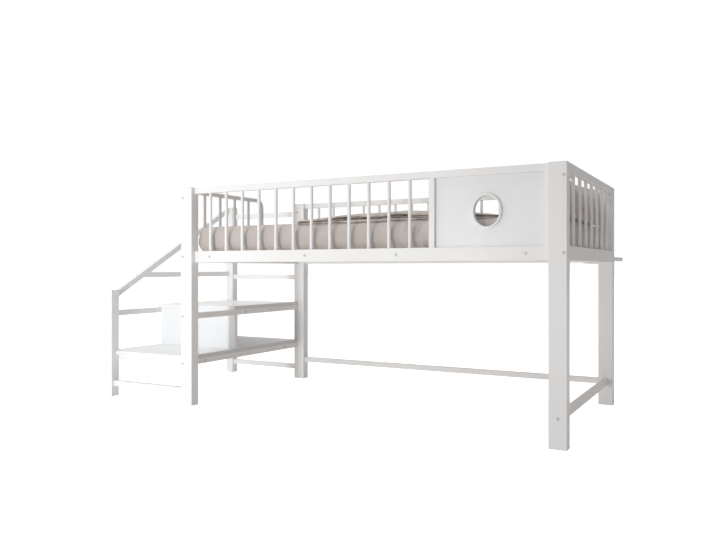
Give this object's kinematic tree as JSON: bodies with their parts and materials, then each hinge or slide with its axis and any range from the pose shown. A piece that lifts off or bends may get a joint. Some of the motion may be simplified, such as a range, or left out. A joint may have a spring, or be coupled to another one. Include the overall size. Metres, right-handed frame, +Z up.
{
  "type": "loft bed",
  "caption": "Low white tube-frame loft bed with guard rails, a porthole window panel, a side stair with a cubby, a bedside shelf, and a made-up mattress.",
  "frame": {"origin": "on the floor, below the middle of the whole outline seen from above", "axes": "+X along the bed from the stair to the head end, +Y from the window side to the shelf side, +Z up"},
  "size_m": [2.543, 1.354, 1.123],
  "materials": {
    "frame_paint": "white satin powder coat",
    "board_lacquer": "white satin lacquer on fibreboard",
    "white_plastic": "moulded, matt",
    "slat_wood": "planed, unlacquered",
    "bolt_steel": "zinc plated",
    "mattress_linen": "woven linen",
    "cover_linen": "woven linen, soft",
    "pillow_linen": "woven linen"
  },
  "bodies": {
    "root": {"post_front_left": "frame_paint", "post_front_right": "frame_paint", "post_back_left": "frame_paint", "post_back_right": "frame_paint", "post_caps": "white_plastic", "post_feet": "white_plastic", "front_top_rail": "frame_paint", "back_top_rail": "frame_paint", "head_top_rail": "frame_paint", "front_side_rail": "frame_paint", "back_side_rail": "frame_paint", "head_side_rail": "frame_paint", "foot_side_rail": "frame_paint", "back_floor_rail": "frame_paint", "head_floor_rail": "frame_paint", "front_spindles": "frame_paint", "back_spindles": "frame_paint", "head_spindles": "frame_paint", "foot_spindles": "frame_paint", "foot_guard_tube": "frame_paint", "guard_lugs": "frame_paint", "window_left_stile": "frame_paint", "window_right_stile": "frame_paint", "window_panel": "board_lacquer", "porthole_ring": "board_lacquer", "cross_bearers": "frame_paint", "slats": "slat_wood", "slat_holders": "white_plastic", "stair_post_front": "frame_paint", "stair_post_back": "frame_paint", "stair_post_caps": "white_plastic", "stair_post_feet": "white_plastic", "handrail": "frame_paint", "side_bar_high": "frame_paint", "side_bar_middle": "frame_paint", "side_bar_low": "frame_paint", "bed_bar_middle": "frame_paint", "bed_bar_low": "frame_paint", "stair_back_bar_high": "frame_paint", "stair_back_bar_low": "frame_paint", "stair_floor_rail_front": "frame_paint", "stair_floor_rail_back": "frame_paint", "step_cross_bars": "frame_paint", "low_step_board": "board_lacquer", "high_step_board": "board_lacquer", "cubby_front_panel": "board_lacquer", "cubby_side_panel": "board_lacquer", "cubby_upright": "frame_paint", "shelf_board": "board_lacquer", "shelf_brackets": "frame_paint", "post_bolts": "bolt_steel", "bearer_bolts": "bolt_steel", "bar_bolts": "bolt_steel", "mattress": "mattress_linen", "bed_cover": "cover_linen", "pillow": "pillow_linen"}
  },
  "joints": []
}
